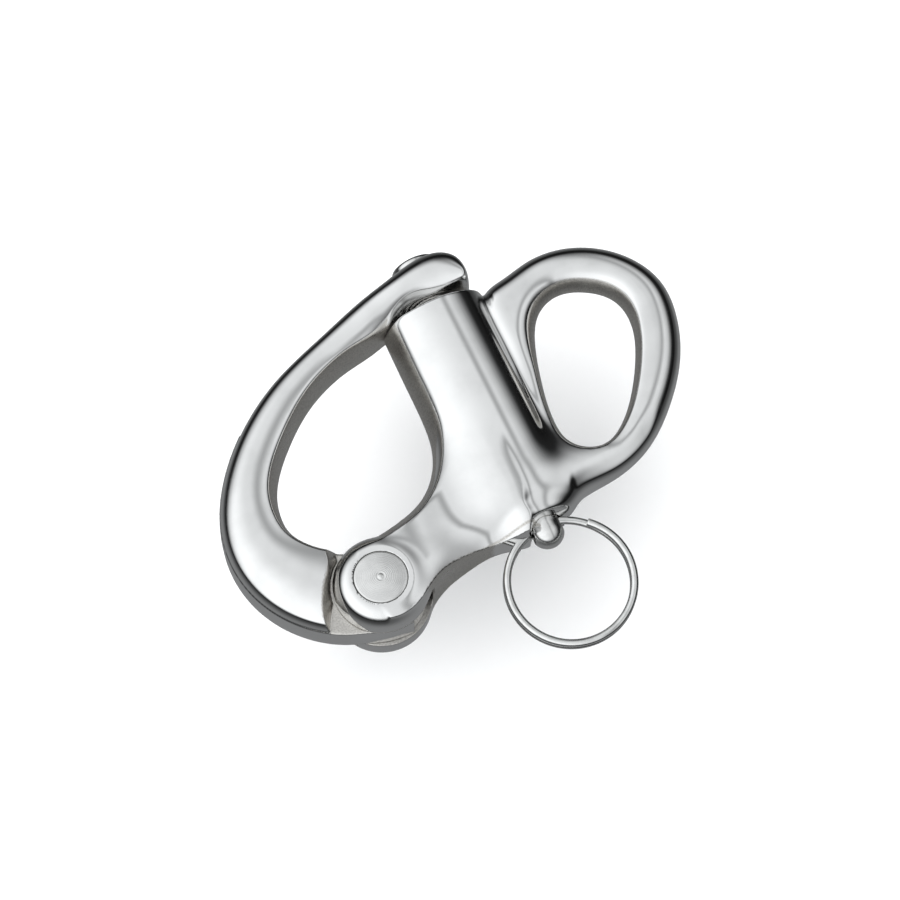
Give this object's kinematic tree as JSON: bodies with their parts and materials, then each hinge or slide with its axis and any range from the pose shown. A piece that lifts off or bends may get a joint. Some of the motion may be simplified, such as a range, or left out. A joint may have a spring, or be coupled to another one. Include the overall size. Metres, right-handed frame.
{
  "type": "snap shackle",
  "caption": "Fixed-eye snap shackle with a hinged bow gate, a spring plunger in its barrel and a split pull ring.",
  "frame": {"origin": "middle of the fixed eye, on the parting plane", "axes": "+X from the gate's bow to the eye, +Y from the pull ring to the gate's cap along the plunger, +Z square to the flat faces"},
  "size_m": [0.0688, 0.0589, 0.0127],
  "materials": {
    "cast_stainless": "mirror polished casting, satin inside the openings",
    "turned_stainless": "fine turned and polished",
    "spring_wire": "drawn wire",
    "ring_wire": "polished wire"
  },
  "bodies": {
    "shackle": {"body": "cast_stainless", "hinge_pin": "turned_stainless"},
    "gate": {"gate": "cast_stainless"},
    "spring": {"plunger_spring": "spring_wire"},
    "plunger": {"plunger": "turned_stainless"},
    "ring": {"pull_ring": "ring_wire"}
  },
  "joints": [
    {"name": "gate_swing", "type": "hinge", "parent": "shackle", "child": "gate", "pos_m": [-0.039, -0.018, 0], "axis": [0, 0, 1], "range_deg": [0, 105]},
    {"name": "plunger_turn", "type": "hinge", "parent": "shackle", "child": "spring", "pos_m": [-0.0159, 0, 0], "axis": [0, 1, 0], "continuous": true},
    {"name": "plunger_pull", "type": "slide", "parent": "spring", "child": "plunger", "axis": [0, -1, 0], "range_m": [0, 0.0082], "stiffness_N_per_m": 600, "springref_m": -0.006, "deforming": ["plunger_spring"]},
    {"name": "ring_swing", "type": "hinge", "parent": "plunger", "child": "ring", "pos_m": [-0.0159, -0.0191, 0], "axis": [1, 0, 0], "range_deg": [-60, 50]}
  ]
}
